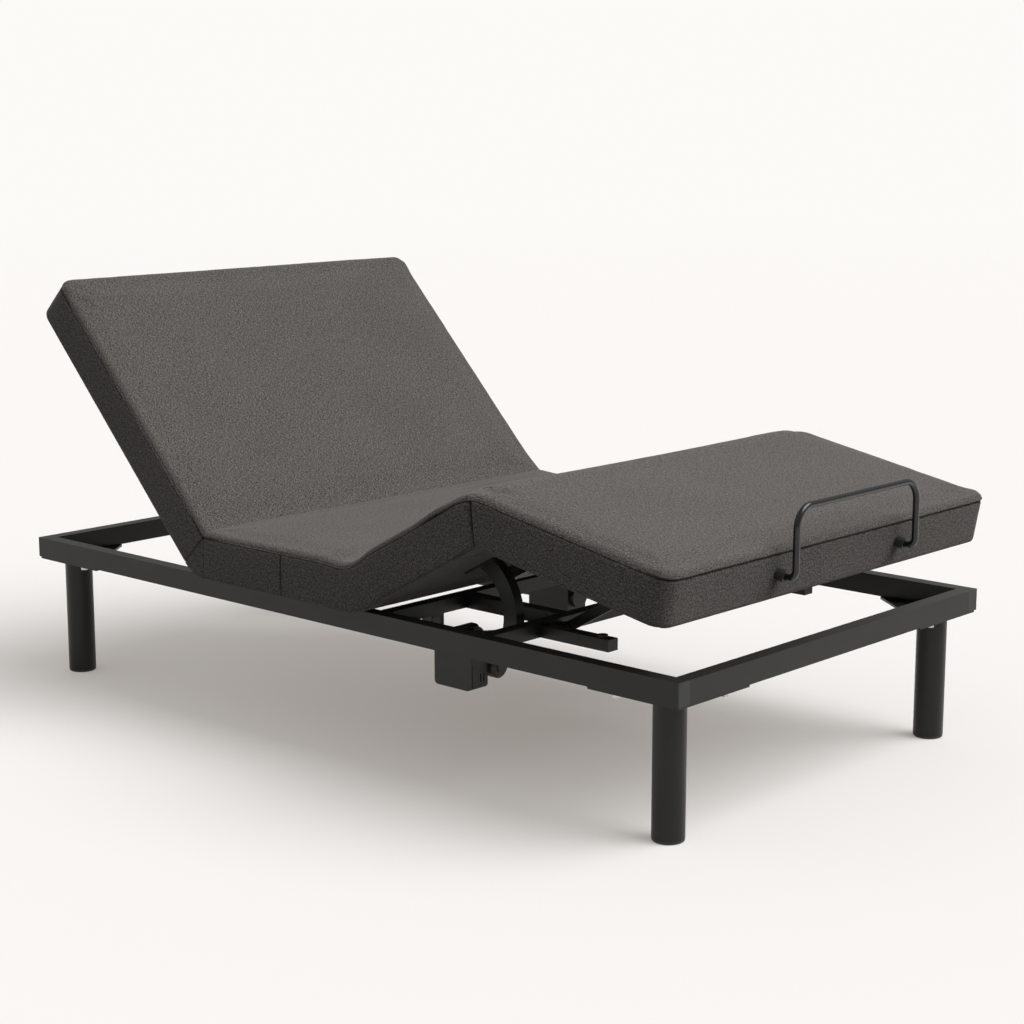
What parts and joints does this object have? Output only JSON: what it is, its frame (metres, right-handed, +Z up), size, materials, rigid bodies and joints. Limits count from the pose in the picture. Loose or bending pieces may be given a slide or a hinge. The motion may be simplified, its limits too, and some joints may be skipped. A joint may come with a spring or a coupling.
{
  "type": "adjustable bed base",
  "caption": "Electric adjustable bed base: black steel frame on round legs with an upholstered deck raised at head and knees, and a mattress retainer bar.",
  "frame": {"origin": "on the floor, under the middle of the whole base's bounding box in the stored pose", "axes": "+X from the head end to the foot end, +Y towards the side away from the leg drive, +Z up"},
  "size_m": [1.8866, 1.044, 0.9102],
  "materials": {
    "steel_frame": "satin black powder coat",
    "retainer_steel": "semi-gloss black lacquer",
    "hinge_steel": "black zinc",
    "bright_zinc": "bright zinc plate",
    "black_plastic": "fine moulded texture",
    "drive_plastic": "spark-eroded moulded texture",
    "deck_board": "black-faced fibreboard",
    "deck_fabric": "dark charcoal woven polyester with a fine heather"
  },
  "bodies": {
    "base": {"rail_near": "steel_frame", "rail_far": "steel_frame", "rail_head": "steel_frame", "rail_foot": "steel_frame", "rail_end_caps": "black_plastic", "corner_plates": "steel_frame", "frame_bolts": "bright_zinc", "leg_head_near": "steel_frame", "leg_head_far": "steel_frame", "leg_foot_near": "steel_frame", "leg_foot_far": "steel_frame", "leg_glides": "black_plastic", "leg_studs": "bright_zinc", "cross_tube_head": "steel_frame", "cross_tube_mid": "steel_frame", "cross_tube_foot": "steel_frame", "frame_stretchers": "steel_frame", "support_arms": "steel_frame", "support_buffers": "black_plastic", "seat_board": "deck_board", "pad_seat": "deck_fabric", "pad_lap": "deck_fabric", "head_hinge_plates": "hinge_steel", "seat_hinge_plates": "hinge_steel", "control_box": "drive_plastic", "control_box_lid": "drive_plastic", "control_box_hanger": "steel_frame", "head_drive_hanger": "steel_frame", "head_drive_housing": "drive_plastic", "head_drive_motor": "drive_plastic", "head_drive_tube": "steel_frame", "leg_drive_clevis": "steel_frame", "link_clevises": "steel_frame"},
    "head_section": {"head_board": "deck_board", "head_subframe": "steel_frame", "head_hinge_arms": "hinge_steel", "head_lever": "steel_frame", "head_bolts": "bright_zinc", "pad_head": "deck_fabric"},
    "head_push_rod": {"head_drive_rod": "bright_zinc", "head_drive_fork": "bright_zinc"},
    "thigh_section": {"thigh_board": "deck_board", "thigh_subframe": "steel_frame", "thigh_hinge_arms": "hinge_steel", "thigh_lever": "steel_frame", "knee_hinge_plates": "hinge_steel", "pad_thigh": "deck_fabric"},
    "foot_section": {"foot_board": "deck_board", "foot_subframe": "steel_frame", "foot_hinge_arms": "hinge_steel", "link_brackets": "steel_frame", "pad_foot": "deck_fabric", "retainer_bar": "retainer_steel", "retainer_collars": "black_plastic"},
    "leg_drive": {"leg_drive_housing": "drive_plastic", "leg_drive_motor": "drive_plastic", "leg_drive_tube": "steel_frame"},
    "leg_push_rod": {"leg_drive_rod": "bright_zinc", "leg_drive_fork": "bright_zinc"},
    "foot_link_pair": {"foot_links": "steel_frame"}
  },
  "joints": [
    {"name": "head_hinge", "type": "hinge", "parent": "base", "child": "head_section", "pos_m": [-0.31827, 0, 0.398], "axis": [0, 1, 0], "range_deg": [-46.5, 13.5]},
    {"name": "thigh_hinge", "type": "hinge", "parent": "base", "child": "thigh_section", "pos_m": [0.12173, 0, 0.356], "axis": [0, -1, 0], "range_deg": [-28.5, 6.5]},
    {"name": "knee_hinge", "type": "hinge", "parent": "thigh_section", "child": "foot_section", "pos_m": [0.45367, 0, 0.49072], "axis": [0, 1, 0], "range_deg": [-39.35, 9.05]},
    {"name": "head_rod_slide", "type": "slide", "parent": "base", "child": "head_push_rod", "axis": [-1, 0, 0], "range_m": [-0.14023, 0.04107]},
    {"name": "leg_drive_tilt", "type": "hinge", "parent": "base", "child": "leg_drive", "pos_m": [0.15973, -0.33, 0.232], "axis": [0, -1, 0], "range_deg": [-34.62, 8.05]},
    {"name": "leg_rod_slide", "type": "slide", "parent": "leg_drive", "child": "leg_push_rod", "axis": [0.9781, 0, 0.2084], "range_m": [-0.06053, 0.01419]},
    {"name": "foot_link_hinge", "type": "hinge", "parent": "base", "child": "foot_link_pair", "pos_m": [0.46273, 0, 0.294], "axis": [0, -1, 0], "range_deg": [-30.73, 7.16]}
  ],
  "couplings": [
    {"joint": "knee_hinge", "follows": "thigh_hinge", "ratio": 1.3772},
    {"joint": "head_rod_slide", "follows": "head_hinge", "m_per_rad": 0.17217},
    {"joint": "leg_drive_tilt", "follows": "thigh_hinge", "ratio": 1.2077},
    {"joint": "leg_rod_slide", "follows": "thigh_hinge", "m_per_rad": 0.12067},
    {"joint": "foot_link_hinge", "follows": "thigh_hinge", "ratio": 1.0711}
  ]
}
